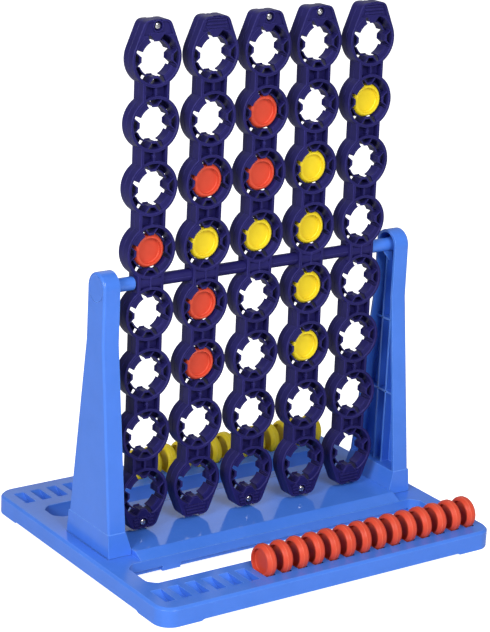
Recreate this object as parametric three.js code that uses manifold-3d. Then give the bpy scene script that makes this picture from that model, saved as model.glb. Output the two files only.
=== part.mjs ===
// A spinning four-in-a-row game: a stand with two posts, an axle, five columns that turn on it,
// and forty discs that clip into the columns or wait on edge in the stand's two trays.
// Millimetres, +Z up, X along the axle, -Y is the side that the players face.
// The origin is on the table, under the middle of the stand.
import * as THREE from 'three';
import { mergeVertices } from 'three/addons/utils/BufferGeometryUtils.js';
import Module from 'manifold-3d';

const wasm = await Module();
wasm.setup();

// Fits
const GAP = 0.3;                 // room between two pieces that touch
const CUT = 1;                   // how far a cutting tool runs past the face that it opens
const WELD = 0.0001;             // points closer than this are one point

// Columns
const ROWS = 8;
const COLUMNS = 5;
const RING_PITCH = 48;
const RING_RADIUS = 20.8;
const COLUMN_PITCH = 48.95;
const COLUMN_DEPTH = 13.4;
const HOLE_RADIUS = 13.4;
const NECK_HALF = 11.4;
const TIP_REACH = 28.4;          // from the end ring's centre to the flat end of the column
const TIP_HALF = 10.7;
const TILTS = [0.4, -0.2, 0.6, 1.6, 0.9];          // degrees, top towards the back
const TURNED = [false, true, false, false, true];  // columns that show their plain face
const SIDE_STEPS = 4;
const HOLE_SIDES = 12;

// Screws, two in each column
const SCREW_REACH = 23.8;        // from the end ring's centre
const HEAD_RADIUS = 2.75;
const HEAD_HEIGHT = 1.8;
const SHANK_RADIUS = 1.45;
const SCREW_LENGTH = 9;
const RECESS_RADIUS = 3.8;
const RECESS_DEPTH = 2.6;
const SCREW_SIDES = 8;
// where the screw's point ends, measured from the column's middle plane
const SCREW_TAIL = RECESS_DEPTH - GAP - HEAD_HEIGHT + SCREW_LENGTH - COLUMN_DEPTH / 2;

// Axle
const AXLE_HEIGHT = 219.3;
const AXLE_RADIUS = 4.8;
const SLEEVE_RADIUS = 6.9;
const SPIGOT_RADIUS = 3;
const SPIGOT_LENGTH = 14;
const ROUND_SIDES = 12;

// Discs
const DISC_RADIUS = 13;
const DISC_THICKNESS = 8.4;
const DISC_FACE_RADIUS = 11;
const DISC_BAND_HALF = 1.6;      // half the width of the disc's cylindrical band
const DISC_SIDES = 12;

// Base
const BASE_WIDTH = 309;
const BASE_DEPTH = 252.5;
const BASE_TOP = 15.5;
const BASE_CORNER = 14;
const CORNER_STEPS = 4;
const FOOT_RISE = 1.6;
const FOOT_SIZE = 36;
const DECK_TOP = 20;
const DECK_HALF_X = 122.8;
const DECK_HALF_Y = 36;
const DECK_FOOT_Y = 45;
const SLOPE_FOOT = 15;           // the deck's sloping edge starts just under the base's top
const GAP_HALF_X = 138;
const GAP_CHAMFER = 6;
const FRONT_GAP = { near: 46, far: 83 };           // how far the gap's long edges are from the middle
const REAR_GAP = { near: 56, far: 80.5 };
const WALL = 2.4;
const TRAY_FLOOR = 8;            // the hollow under the trays ends here, below their slots

// Tray slots
const SLOTS = 20;
const SLOT_PITCH = 14.75;
const SLOT_WIDTH = 8.9;
const SLOT_Y = 103;
const SLOT_CENTRE_Z = 23.7;
const SLOT_RADIUS = DISC_RADIUS + 0.4;
const LEAN = 1.2;                // degrees, how far a disc may lean in its slot
const LEAN_STEP = 2.3;           // radians between neighbours, so that the leans look uneven

// Posts
const POST_TOP_RADIUS = 12.2;
const CROWN_STEPS = 8;
const POST_KINK = 178;           // height where the post starts to widen
const POST_BOTTOM = BASE_TOP + GAP;
const POST_HALF_BOTTOM = 31.2;
const POST_OUTER_TOP = 141.2;
const POST_OUTER_BOTTOM = 142.8;
const POST_INNER = 127.5;
const POST_WALL = 2.2;
const PLINTH_TOP = 34;
const PLINTH_INNER = DECK_HALF_X + GAP;
const RIB = 1.8;
const RIB_Y = 5;
const RIB_DEPTH = 6;
const RIB_SINK = 1;              // how far a rib's ends stop short of the wall's far side
const RIB_HEIGHTS = [95, 156];
const STUB_RADIUS = 5.3;
const STUB_START = 2 * COLUMN_PITCH + NECK_HALF + 2 * GAP;
const TONGUE = { x: 136, thick: 6, wide: 36, reach: 8 };

// Where the discs are: [column, row], rows counted from the top
const RED_PLACES = [[3, 2], [3, 3], [2, 3], [1, 4], [2, 5], [2, 6]];
const YELLOW_PLACES = [[5, 2], [4, 3], [4, 4], [3, 4], [2, 4], [4, 5], [4, 6]];
const RED_TRAY = { first: 6, count: 14, y: -SLOT_Y };
const YELLOW_TRAY = { first: 7, count: 9, y: SLOT_Y };

const navy = { color: 0x2b2560, roughness: 0.4, metalness: 0 };
const blue = { color: 0x4a7fe8, roughness: 0.35, metalness: 0 };
const red = { color: 0xe04a2c, roughness: 0.4, metalness: 0 };
const yellow = { color: 0xeccf14, roughness: 0.4, metalness: 0 };
const steel = { color: 0xc8c8c8, roughness: 0.3, metalness: 1 };

const toRad = THREE.MathUtils.degToRad;

// Booleans

function toSolid(geometry) {
  geometry.deleteAttribute('normal');
  geometry.deleteAttribute('uv');
  const merged = mergeVertices(geometry, WELD);
  return new wasm.Manifold(new wasm.Mesh({
    numProp: 3,
    vertProperties: new Float32Array(merged.attributes.position.array),
    triVerts: new Uint32Array(merged.index.array),
  }));
}

function toGeometry(solid) {
  const mesh = solid.getMesh();
  const geometry = new THREE.BufferGeometry();
  geometry.setAttribute('position', new THREE.BufferAttribute(mesh.vertProperties, 3));
  geometry.setIndex(new THREE.BufferAttribute(mesh.triVerts, 1));
  return geometry;
}

// A box given by its lowest and highest corner
function box(low, high) {
  const size = high.map((value, axis) => value - low[axis]);
  const geometry = new THREE.BoxGeometry(...size);
  geometry.translate(...low.map((value, axis) => value + size[axis] / 2));
  return toSolid(geometry);
}

// A prism along X from x0 to x1, whose outline is given in Y and Z
function prismX(outline, x0, x1) {
  const shape = new THREE.Shape(outline.map(([y, z]) => new THREE.Vector2(y, z)));
  const geometry = new THREE.ExtrudeGeometry(shape, { depth: x1 - x0, bevelEnabled: false });
  geometry.rotateY(Math.PI / 2);
  geometry.rotateX(Math.PI / 2);
  geometry.translate(x0, 0, 0);
  return geometry;
}

// A prism along Z from z0 to z1, whose outline is given in X and Y
function prismZ(outline, z0, z1) {
  const shape = new THREE.Shape(outline.map(([x, y]) => new THREE.Vector2(x, y)));
  const geometry = new THREE.ExtrudeGeometry(shape, { depth: z1 - z0, bevelEnabled: false });
  geometry.translate(0, 0, z0);
  return geometry;
}

// A round bar along X. A bar keeps its corners at the radius, and a hole keeps its flats there.
function barX(radius, x0, x1, isHole = false) {
  const reach = isHole ? radius / Math.cos(Math.PI / ROUND_SIDES) : radius;
  const geometry = new THREE.CylinderGeometry(reach, reach, x1 - x0, ROUND_SIDES);
  geometry.rotateZ(Math.PI / 2);
  geometry.translate((x0 + x1) / 2, 0, 0);
  return toSolid(geometry);
}

// A round bar along Y at a height z
function barY(radius, y0, y1, z, sides) {
  const geometry = new THREE.CylinderGeometry(radius, radius, y1 - y0, sides);
  geometry.translate(0, (y0 + y1) / 2, z);
  return toSolid(geometry);
}

function arc(cx, cy, radius, from, to, steps) {
  return Array.from({ length: steps + 1 }, (_, i) => {
    const angle = from + (to - from) * i / steps;
    return [cx + radius * Math.cos(angle), cy + radius * Math.sin(angle)];
  });
}

// Columns

const ringHeight = (row) => ((ROWS + 1) / 2 - row) * RING_PITCH;
const endRing = ringHeight(1);

// The right-hand edge of a column, from the bottom tip up to the top tip
function columnSide() {
  const side = Math.PI / 2 - Math.asin(NECK_HALF / RING_RADIUS);
  const tipCorner = Math.hypot(TIP_REACH, TIP_HALF);
  const tipAngle = Math.atan2(TIP_REACH, TIP_HALF) - Math.acos(RING_RADIUS / tipCorner);
  const points = [[TIP_HALF, -endRing - TIP_REACH]];
  for (let row = ROWS; row >= 1; row -= 1) {
    const from = row === ROWS ? -tipAngle : -side;
    const to = row === 1 ? tipAngle : side;
    points.push(...arc(0, ringHeight(row), RING_RADIUS, from, to, SIDE_STEPS));
  }
  points.push([TIP_HALF, endRing + TIP_REACH]);
  return points;
}

// One shell's plate, with its eight holes, between the column's face and the parting plane
function columnPlate() {
  const right = columnSide();
  const left = right.map(([x, z]) => [-x, z]).reverse();
  const shape = new THREE.Shape([...right, ...left].map(([x, z]) => new THREE.Vector2(x, z)));
  const holeReach = HOLE_RADIUS / Math.cos(Math.PI / HOLE_SIDES);
  for (let row = 1; row <= ROWS; row += 1) {
    const rim = arc(0, ringHeight(row), holeReach, 0, 2 * Math.PI, HOLE_SIDES).slice(0, -1);
    shape.holes.push(new THREE.Path(rim.map(([x, z]) => new THREE.Vector2(x, z))));
  }
  const depth = (COLUMN_DEPTH - GAP) / 2;
  const geometry = new THREE.ExtrudeGeometry(shape, { depth, bevelEnabled: false });
  geometry.rotateX(Math.PI / 2);
  geometry.translate(0, -GAP / 2, 0);
  return toSolid(geometry);
}

// A shell on the -Y side of the column: the screw shell takes the heads, the thread shell the shanks
function columnShell(takesHeads) {
  const face = -COLUMN_DEPTH / 2;
  const beyond = box([-RING_RADIUS, -GAP / 2, -SLEEVE_RADIUS],
    [RING_RADIUS, SLEEVE_RADIUS, SLEEVE_RADIUS]);
  const channel = barX(AXLE_RADIUS + GAP, -RING_RADIUS, RING_RADIUS, true);
  let solid = columnPlate().add(barX(SLEEVE_RADIUS, -NECK_HALF, NECK_HALF));
  solid = solid.subtract(beyond).subtract(channel);
  for (const end of [-1, 1]) {
    const z = end * (endRing + SCREW_REACH);
    const deepest = takesHeads ? face - CUT : -SCREW_TAIL - GAP;
    solid = solid.subtract(barY(SHANK_RADIUS + GAP, deepest, CUT, z, SCREW_SIDES));
    if (takesHeads) {
      solid = solid.subtract(barY(RECESS_RADIUS, face - CUT, face + RECESS_DEPTH, z, SCREW_SIDES));
    }
  }
  return solid;
}

function screwGeometry() {
  const profile = [[0, 0], [SHANK_RADIUS, 0], [SHANK_RADIUS, SCREW_LENGTH - HEAD_HEIGHT],
    [HEAD_RADIUS, SCREW_LENGTH - HEAD_HEIGHT], [HEAD_RADIUS, SCREW_LENGTH - HEAD_HEIGHT / 2],
    [HEAD_RADIUS / 2, SCREW_LENGTH], [0, SCREW_LENGTH]];
  return lathe(profile, SCREW_SIDES);
}

function lathe(profile, sides) {
  const points = profile.map(([r, h]) => new THREE.Vector2(r, h));
  return toGeometry(toSolid(new THREE.LatheGeometry(points, sides)));
}

// A disc lying flat, with its middle at the origin
function discGeometry() {
  const half = DISC_THICKNESS / 2;
  const profile = [[0, -half], [DISC_FACE_RADIUS, -half], [DISC_RADIUS, -DISC_BAND_HALF],
    [DISC_RADIUS, DISC_BAND_HALF], [DISC_FACE_RADIUS, half], [0, half]];
  return lathe(profile, DISC_SIDES);
}

function addPiece(parent, name, geometry, finish) {
  const mesh = new THREE.Mesh(geometry, new THREE.MeshStandardMaterial(finish));
  mesh.name = name;
  parent.add(mesh);
  return mesh;
}

function addScrews(parent, number) {
  for (const end of ['lower', 'upper']) {
    const screw = addPiece(parent, `column_${number}_${end}_screw`, screwGeometry(), steel);
    screw.rotation.x = Math.PI;
    screw.position.set(0, SCREW_TAIL, (end === 'upper' ? 1 : -1) * (endRing + SCREW_REACH));
  }
}

function addClippedDiscs(parent, number, places, colour, finish) {
  for (const [column, row] of places.filter(([column]) => column === number)) {
    const disc = addPiece(parent, `${colour}_disc_column_${column}_row_${row}`, discGeometry(), finish);
    disc.position.z = ringHeight(row);
  }
}

function buildColumn(number) {
  const tilted = new THREE.Group();
  tilted.position.set((number - (COLUMNS + 1) / 2) * COLUMN_PITCH, 0, AXLE_HEIGHT);
  tilted.rotation.x = -toRad(TILTS[number - 1]);
  const column = new THREE.Group();
  column.rotation.z = TURNED[number - 1] ? Math.PI : 0;
  tilted.add(column);
  addPiece(column, `column_${number}_screw_shell`, toGeometry(columnShell(true)), navy);
  const back = addPiece(column, `column_${number}_thread_shell`, toGeometry(columnShell(false)), navy);
  back.rotation.z = Math.PI;
  addScrews(column, number);
  addClippedDiscs(column, number, RED_PLACES, 'red', red);
  addClippedDiscs(column, number, YELLOW_PLACES, 'yellow', yellow);
  return tilted;
}

// Axle

function buildAxle() {
  const half = STUB_START - GAP;
  const body = barX(AXLE_RADIUS, -half, half);
  const spigots = barX(SPIGOT_RADIUS, -half - SPIGOT_LENGTH, half + SPIGOT_LENGTH);
  const geometry = toGeometry(body.add(spigots));
  geometry.translate(0, 0, AXLE_HEIGHT);
  return geometry;
}

// Base

function roundedRectangle(halfX, halfY, radius, steps) {
  const corners = [[1, -1, -Math.PI / 2], [1, 1, 0], [-1, 1, Math.PI / 2], [-1, -1, Math.PI]];
  return corners.flatMap(([sx, sy, from]) => arc(
    sx * (halfX - radius), sy * (halfY - radius), radius, from, from + Math.PI / 2, steps));
}

function baseBody() {
  const halfX = BASE_WIDTH / 2;
  const halfY = BASE_DEPTH / 2;
  const outline = roundedRectangle(halfX, halfY, BASE_CORNER, CORNER_STEPS);
  const deck = [[-DECK_FOOT_Y, SLOPE_FOOT], [DECK_FOOT_Y, SLOPE_FOOT], [DECK_FOOT_Y, BASE_TOP],
    [DECK_HALF_Y, DECK_TOP], [-DECK_HALF_Y, DECK_TOP], [-DECK_FOOT_Y, BASE_TOP]];
  const acrossX = box([FOOT_SIZE - halfX, -halfY - CUT, -CUT],
    [halfX - FOOT_SIZE, halfY + CUT, FOOT_RISE]);
  const acrossY = box([-halfX - CUT, FOOT_SIZE - halfY, -CUT],
    [halfX + CUT, halfY - FOOT_SIZE, FOOT_RISE]);
  return toSolid(prismZ(outline, 0, BASE_TOP))
    .add(toSolid(prismX(deck, -DECK_HALF_X, DECK_HALF_X)))
    .subtract(acrossX)
    .subtract(acrossY);
}

// The long gap between the deck and a tray, at the front with sign -1 and at the rear with 1
function trayGap(gap, sign) {
  const near = Math.min(sign * gap.near, sign * gap.far);
  const far = Math.max(sign * gap.near, sign * gap.far);
  const inner = GAP_HALF_X - GAP_CHAMFER;
  const outline = [[-inner, near], [inner, near], [GAP_HALF_X, near + GAP_CHAMFER],
    [GAP_HALF_X, far - GAP_CHAMFER], [inner, far], [-inner, far],
    [-GAP_HALF_X, far - GAP_CHAMFER], [-GAP_HALF_X, near + GAP_CHAMFER]];
  return toSolid(prismZ(outline, -CUT, BASE_TOP + CUT));
}

// The hollows under the moulding, open to the table
function baseHollows() {
  const outerX = BASE_WIDTH / 2 - WALL;
  const outerY = BASE_DEPTH / 2 - WALL;
  const railX = GAP_HALF_X + WALL;
  const trayX = BASE_WIDTH / 2 - BASE_CORNER;
  const top = BASE_TOP - WALL;
  return [
    box([WALL - DECK_HALF_X, -DECK_HALF_Y, -CUT], [DECK_HALF_X - WALL, DECK_HALF_Y, DECK_TOP - WALL]),
    box([-GAP_HALF_X, WALL - FRONT_GAP.near, -CUT], [GAP_HALF_X, REAR_GAP.near - WALL, top]),
    box([-outerX, -FRONT_GAP.far, -CUT], [-railX, REAR_GAP.far, top]),
    box([railX, -FRONT_GAP.far, -CUT], [outerX, REAR_GAP.far, top]),
    box([-trayX, -outerY, -CUT], [trayX, -FRONT_GAP.far - WALL, TRAY_FLOOR]),
    box([-trayX, REAR_GAP.far + WALL, -CUT], [trayX, outerY, TRAY_FLOOR]),
  ];
}

const slotX = (slot) => (slot - (SLOTS - 1) / 2) * SLOT_PITCH;

function buildBase() {
  let solid = baseBody().subtract(trayGap(FRONT_GAP, -1)).subtract(trayGap(REAR_GAP, 1));
  for (const hollow of baseHollows()) solid = solid.subtract(hollow);
  for (let slot = 0; slot < SLOTS; slot += 1) {
    for (const y of [-SLOT_Y, SLOT_Y]) {
      const cradle = barX(SLOT_RADIUS, slotX(slot) - SLOT_WIDTH / 2, slotX(slot) + SLOT_WIDTH / 2, true);
      solid = solid.subtract(cradle.translate([0, y, SLOT_CENTRE_Z]));
    }
  }
  const socket = [TONGUE.thick / 2 + GAP, TONGUE.wide / 2 + GAP];
  for (const x of [-TONGUE.x, TONGUE.x]) {
    solid = solid.subtract(box([x - socket[0], -socket[1], BASE_TOP - TONGUE.reach - 2 * GAP],
      [x + socket[0], socket[1], BASE_TOP + CUT]));
  }
  return toGeometry(solid);
}

// Posts, made on the +X side with their open face towards the columns

// Half the post's depth at a height below the kink
function postHalf(z) {
  const slope = (POST_HALF_BOTTOM - POST_TOP_RADIUS) / (POST_KINK - POST_BOTTOM);
  return POST_TOP_RADIUS + (POST_KINK - z) * slope;
}

// The post's outline in Y and Z, set in by a margin
function postOutline(margin, bottom) {
  const top = POST_TOP_RADIUS - margin;
  const foot = postHalf(bottom) - margin;
  const crown = arc(0, AXLE_HEIGHT, top, 0, Math.PI, CROWN_STEPS);
  return [[-foot, bottom], [foot, bottom], [top, POST_KINK], ...crown, [-top, POST_KINK]];
}

// Leans the outer face of a post, so that it is further out at the bottom
function leanOuterFace(geometry) {
  const place = geometry.attributes.position;
  const top = AXLE_HEIGHT + POST_TOP_RADIUS;
  for (let i = 0; i < place.count; i += 1) {
    if (place.getX(i) > (POST_INNER + POST_OUTER_TOP) / 2) {
      const down = (top - place.getZ(i)) / (top - POST_BOTTOM);
      place.setX(i, place.getX(i) + down * (POST_OUTER_BOTTOM - POST_OUTER_TOP));
    }
  }
  return toSolid(geometry);
}

function postRibs() {
  const inner = POST_OUTER_TOP - POST_WALL - RIB_DEPTH;
  const outer = POST_OUTER_TOP - RIB_SINK;
  const top = AXLE_HEIGHT - POST_WALL;
  const half = RIB / 2;
  const ribs = [-RIB_Y, RIB_Y].map((y) => box([inner, y - half, PLINTH_TOP], [outer, y + half, top]));
  for (const z of RIB_HEIGHTS) {
    const reach = postHalf(z) - RIB_SINK;
    ribs.push(box([inner, -reach, z - half], [outer, reach, z + half]));
  }
  return ribs;
}

// The solid foot of the post, which flares towards the deck and plugs into the base
function postFoot() {
  const half = POST_HALF_BOTTOM - POST_WALL;
  const profile = [[PLINTH_INNER, POST_BOTTOM], [POST_OUTER_TOP, POST_BOTTOM], [POST_OUTER_TOP, PLINTH_TOP],
    [POST_INNER, PLINTH_TOP], [PLINTH_INNER, DECK_TOP]];
  const shape = new THREE.Shape(profile.map(([x, z]) => new THREE.Vector2(x, z)));
  const geometry = new THREE.ExtrudeGeometry(shape, { depth: 2 * half, bevelEnabled: false });
  geometry.rotateX(Math.PI / 2);
  geometry.translate(0, half, 0);
  const tongue = box([TONGUE.x - TONGUE.thick / 2, -TONGUE.wide / 2, BASE_TOP - TONGUE.reach],
    [TONGUE.x + TONGUE.thick / 2, TONGUE.wide / 2, PLINTH_TOP]);
  return toSolid(geometry).add(tongue);
}

function buildPost() {
  const shell = leanOuterFace(prismX(postOutline(0, POST_BOTTOM), POST_INNER, POST_OUTER_TOP));
  const hollow = leanOuterFace(prismX(postOutline(POST_WALL, PLINTH_TOP), POST_INNER - CUT,
    POST_OUTER_TOP - POST_WALL));
  let solid = shell.subtract(hollow);
  for (const rib of postRibs()) solid = solid.add(rib);
  const stub = barX(STUB_RADIUS, STUB_START, POST_OUTER_TOP - RIB_SINK);
  const bore = barX(SPIGOT_RADIUS + GAP, STUB_START - CUT, STUB_START + SPIGOT_LENGTH, true);
  solid = solid.add(stub.translate([0, 0, AXLE_HEIGHT])).add(postFoot());
  return toGeometry(solid.subtract(bore.translate([0, 0, AXLE_HEIGHT])));
}

// Discs standing on edge in a tray
function addTrayDiscs(parent, tray, colour, finish) {
  for (let i = 0; i < tray.count; i += 1) {
    const slot = tray.first + i;
    const stand = new THREE.Group();
    stand.position.set(slotX(slot), tray.y, SLOT_CENTRE_Z);
    stand.rotation.y = toRad(LEAN * Math.sin(slot * LEAN_STEP));
    const disc = addPiece(stand, `${colour}_disc_tray_slot_${slot + 1}`, discGeometry(), finish);
    disc.rotation.z = Math.PI / 2;
    parent.add(stand);
  }
}

const game = new THREE.Group();
addPiece(game, 'base', buildBase(), blue);
addPiece(game, 'right_post', buildPost(), blue);
const leftPost = addPiece(game, 'left_post', buildPost(), blue);
leftPost.rotation.z = Math.PI;
addPiece(game, 'axle', buildAxle(), navy);
for (let number = 1; number <= COLUMNS; number += 1) game.add(buildColumn(number));
addTrayDiscs(game, RED_TRAY, 'red', red);
addTrayDiscs(game, YELLOW_TRAY, 'yellow', yellow);

export default game;
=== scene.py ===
import math

import bmesh
import bpy
from mathutils import Matrix, Vector


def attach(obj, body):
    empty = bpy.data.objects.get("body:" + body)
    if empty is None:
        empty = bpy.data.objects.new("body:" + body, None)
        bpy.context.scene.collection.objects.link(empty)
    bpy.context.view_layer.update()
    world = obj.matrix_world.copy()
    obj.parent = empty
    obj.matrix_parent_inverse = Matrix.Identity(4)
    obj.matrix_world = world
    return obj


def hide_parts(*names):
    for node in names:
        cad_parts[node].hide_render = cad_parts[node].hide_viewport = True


# A tabletop four-in-a-row game: a blue stand with two posts, an axle, five navy columns that turn on it,
# and forty discs. Its lengths are written in millimetres; meshes and the studio are in metres.
# A column is modelled upright round its own middle, with its outer face towards -Y.

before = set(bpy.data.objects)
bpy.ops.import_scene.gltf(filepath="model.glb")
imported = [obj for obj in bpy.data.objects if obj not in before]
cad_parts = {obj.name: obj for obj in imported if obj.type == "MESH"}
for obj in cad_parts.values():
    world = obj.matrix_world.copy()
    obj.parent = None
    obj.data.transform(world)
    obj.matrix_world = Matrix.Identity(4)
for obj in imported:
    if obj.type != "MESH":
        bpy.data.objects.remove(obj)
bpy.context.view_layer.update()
mm = 0.001
fullTurn = 2 * math.pi
smoothAngle = math.radians(34)
print("frame loaded,", len(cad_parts), "nodes")


# ---- hands: small moves used by every piece

def dropSelection():
    bpy.ops.object.select_all(action="DESELECT")


def pick(piece):
    dropSelection()
    piece.select_set(True)
    bpy.context.view_layer.objects.active = piece
    return piece


def openMesh(piece, mode="EDGE"):
    pick(piece)
    bpy.ops.object.mode_set(mode="EDIT")
    bpy.ops.mesh.select_mode(type=mode)
    bpy.ops.mesh.select_all(action="DESELECT")
    return bmesh.from_edit_mesh(piece.data)


def closeMesh():
    bpy.ops.object.mode_set(mode="OBJECT")


def faceNormalsOut():
    bpy.ops.mesh.select_all(action="SELECT")
    bpy.ops.mesh.normals_make_consistent(inside=False)


def spot(axis, a, b, along):  # a point in metres, for an outline that is pushed out along an axis
    return Vector({"X": (along, a, b), "Y": (a, along, b), "Z": (a, b, along)}[axis]) * mm


def addPlate(outline, near, far, axis="Y"):  # a flat outline, extruded
    dropSelection()
    bpy.ops.mesh.primitive_circle_add(vertices=len(outline), radius=1, fill_type="NGON")
    plate = bpy.context.object
    for vertex, (a, b) in zip(plate.data.vertices, outline):
        vertex.co = spot(axis, a, b, near)
    openMesh(plate, "FACE")
    bpy.ops.mesh.select_all(action="SELECT")
    push = spot(axis, 0, 0, far - near)
    bpy.ops.mesh.extrude_region_move(TRANSFORM_OT_translate={"value": push})
    faceNormalsOut()
    closeMesh()
    return plate


def addTurned(profile, steps=64, closed=False, axis="Y"):  # (radius, along) points, spun round an axis
    dropSelection()
    bpy.ops.mesh.primitive_circle_add(vertices=len(profile), radius=1, fill_type="NOTHING")
    turned = bpy.context.object
    for vertex, (radius, along) in zip(turned.data.vertices, profile):
        vertex.co = Vector((radius, along, 0)) * mm
    lines = openMesh(turned)
    if not closed:
        ends = {0, len(profile) - 1}
        for edge in lines.edges:
            edge.select = {edge.verts[0].index, edge.verts[1].index} == ends
        bmesh.update_edit_mesh(turned.data)
        bpy.ops.mesh.delete(type="EDGE")
    bpy.ops.mesh.select_all(action="SELECT")
    bpy.ops.mesh.spin(steps=steps, angle=fullTurn, center=(0, 0, 0), axis=(0, 1, 0))
    bpy.ops.mesh.select_all(action="SELECT")
    bpy.ops.mesh.remove_doubles(threshold=0.001 * mm)
    faceNormalsOut()
    closeMesh()
    if axis == "X":
        turned.data.transform(Matrix.Rotation(-math.pi / 2, 4, "Z"))
    return turned


def addBlock(low, high):
    dropSelection()
    centre = [(a + b) / 2 * mm for a, b in zip(low, high)]
    bpy.ops.mesh.primitive_cube_add(size=1, location=centre, scale=[(b - a) * mm for a, b in zip(low, high)])
    bpy.ops.object.transform_apply(location=True, rotation=True, scale=True)
    return bpy.context.object


def bevelWhere(piece, test, width, segments=3, sharpFrom=0.4):  # bevels sharp edges that pass a test
    lines = openMesh(piece)
    for edge in lines.edges:
        sharp = len(edge.link_faces) == 2 and edge.calc_face_angle(0) > sharpFrom
        edge.select = sharp and all(test(end.co / mm) for end in edge.verts)
    lines.select_flush_mode()
    bmesh.update_edit_mesh(piece.data)
    bpy.ops.mesh.bevel(offset=width * mm, segments=segments, affect="EDGES", clamp_overlap=True)
    closeMesh()
    return piece


def cutBeyond(piece, point, normal):  # cuts away what lies beyond a plane and closes the cut
    openMesh(piece)
    bpy.ops.mesh.select_all(action="SELECT")
    bpy.ops.mesh.bisect(plane_co=Vector(point) * mm, plane_no=normal, use_fill=True, clear_outer=True)
    faceNormalsOut()
    closeMesh()
    return piece


def combine(piece, tool, operation="DIFFERENCE"):
    joint = piece.modifiers.new("combine", "BOOLEAN")
    joint.operation = operation
    joint.object = tool
    joint.solver = "EXACT"
    pick(piece)
    bpy.ops.object.modifier_apply(modifier=joint.name)
    bpy.data.objects.remove(tool)
    return piece


def joinAll(pieces):
    dropSelection()
    for piece in pieces:
        piece.select_set(True)
    bpy.context.view_layer.objects.active = pieces[0]
    bpy.ops.object.join()
    return pieces[0]


def moved(piece, matrix):
    piece.data.transform(matrix)
    return piece


def copyOf(piece, matrix=Matrix.Identity(4)):
    twin = piece.copy()
    twin.data = piece.data.copy()
    bpy.context.scene.collection.objects.link(twin)
    return moved(twin, matrix)


def shift(x=0.0, y=0.0, z=0.0):
    return Matrix.Translation(Vector((x, y, z)) * mm)


def turn(degrees, axis):
    return Matrix.Rotation(math.radians(degrees), 4, axis)


def arc(cx, cy, radius, start, end, steps):  # angles in degrees
    angles = [math.radians(start + (end - start) * i / steps) for i in range(steps + 1)]
    return [(cx + radius * math.cos(a), cy + radius * math.sin(a)) for a in angles]


def softCorner(before, corner, after, reach, steps=4):  # the corner of an outline, rounded
    corner = Vector(corner)
    start = corner + (Vector(before) - corner).normalized() * reach
    end = corner + (Vector(after) - corner).normalized() * reach
    rounded = []
    for i in range(steps + 1):
        t = i / steps
        rounded.append(tuple(start * (1 - t) ** 2 + corner * 2 * t * (1 - t) + end * t * t))
    return rounded


def settle(piece, name, material, body, slotName, *standsFor):
    piece.name = name
    piece.data.name = name
    piece.data.materials.clear()
    piece.data.materials.append(material)
    pick(piece)
    bpy.ops.object.shade_smooth_by_angle(angle=smoothAngle)
    flatFaces = piece.modifiers.new("flatFaces", "WEIGHTED_NORMAL")
    flatFaces.keep_sharp = True
    bpy.ops.object.modifier_apply(modifier=flatFaces.name)
    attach(piece, body)
    if standsFor:
        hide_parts(*standsFor)
    return piece


# ---- camera

cameraView = {
    "azimuth": -35.18,
    "elevation": 17.99,
    "roll": 2.73,
    "distance": 1703.89,
    "target": (-4.85, 2.8, 177.48),
    "lens": 125.71,
}


def makeCamera(view):
    azimuth = math.radians(view["azimuth"])
    elevation = math.radians(view["elevation"])
    roll = math.radians(view["roll"])
    level = math.cos(elevation)
    back = Vector((math.sin(azimuth) * level, -math.cos(azimuth) * level, math.sin(elevation)))
    across = Vector((0, 0, 1)).cross(back).normalized()
    up = back.cross(across)
    right = across * math.cos(roll) + up * math.sin(roll)
    top = up * math.cos(roll) - across * math.sin(roll)
    data = bpy.data.cameras.new("camera")
    data.lens = view["lens"]
    data.clip_start, data.clip_end = 0.05, 30
    camera = bpy.data.objects.new("camera", data)
    bpy.context.scene.collection.objects.link(camera)
    place = (Vector(view["target"]) + back * view["distance"]) * mm
    camera.matrix_world = Matrix.Translation(place) @ Matrix((right, top, back)).transposed().to_4x4()
    bpy.context.scene.camera = camera


makeCamera(cameraView)
print("camera set")


# ---- finishes

def newGroup(name, inputs, outputs):
    group = bpy.data.node_groups.new(name, "ShaderNodeTree")
    for label, kind, value in inputs:
        socket = group.interface.new_socket(name=label, in_out="INPUT", socket_type=kind)
        if value is not None:
            socket.default_value = value
    for label in outputs:
        group.interface.new_socket(name=label, in_out="OUTPUT", socket_type="NodeSocketFloat")
    return group, group.nodes.new("NodeGroupInput"), group.nodes.new("NodeGroupOutput")


def calc(tree, operation, first, second=None, third=None):  # a Math node; each value is a socket or a number
    node = tree.nodes.new("ShaderNodeMath")
    node.operation = operation
    for socket, value in zip(node.inputs, (first, second, third)):
        if value is None:
            continue
        if isinstance(value, (int, float)):
            socket.default_value = value
        else:
            tree.links.new(value, socket)
    return node.outputs[0]


def remap(tree, value, low, high, newLow=0.0, newHigh=1.0):
    node = tree.nodes.new("ShaderNodeMapRange")
    node.inputs["From Min"].default_value = low
    node.inputs["From Max"].default_value = high
    node.inputs["To Min"].default_value = newLow
    node.inputs["To Max"].default_value = newHigh
    tree.links.new(value, node.inputs["Value"])
    return node.outputs["Result"]


def cloud(tree, vector, scale, detail=3.0, roughness=0.5):  # a Noise node's value
    node = tree.nodes.new("ShaderNodeTexNoise")
    node.inputs["Detail"].default_value = detail
    node.inputs["Roughness"].default_value = roughness
    tree.links.new(vector, node.inputs["Vector"])
    if isinstance(scale, (int, float)):
        node.inputs["Scale"].default_value = scale
    else:
        tree.links.new(scale, node.inputs["Scale"])
    return node.outputs[0]


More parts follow.
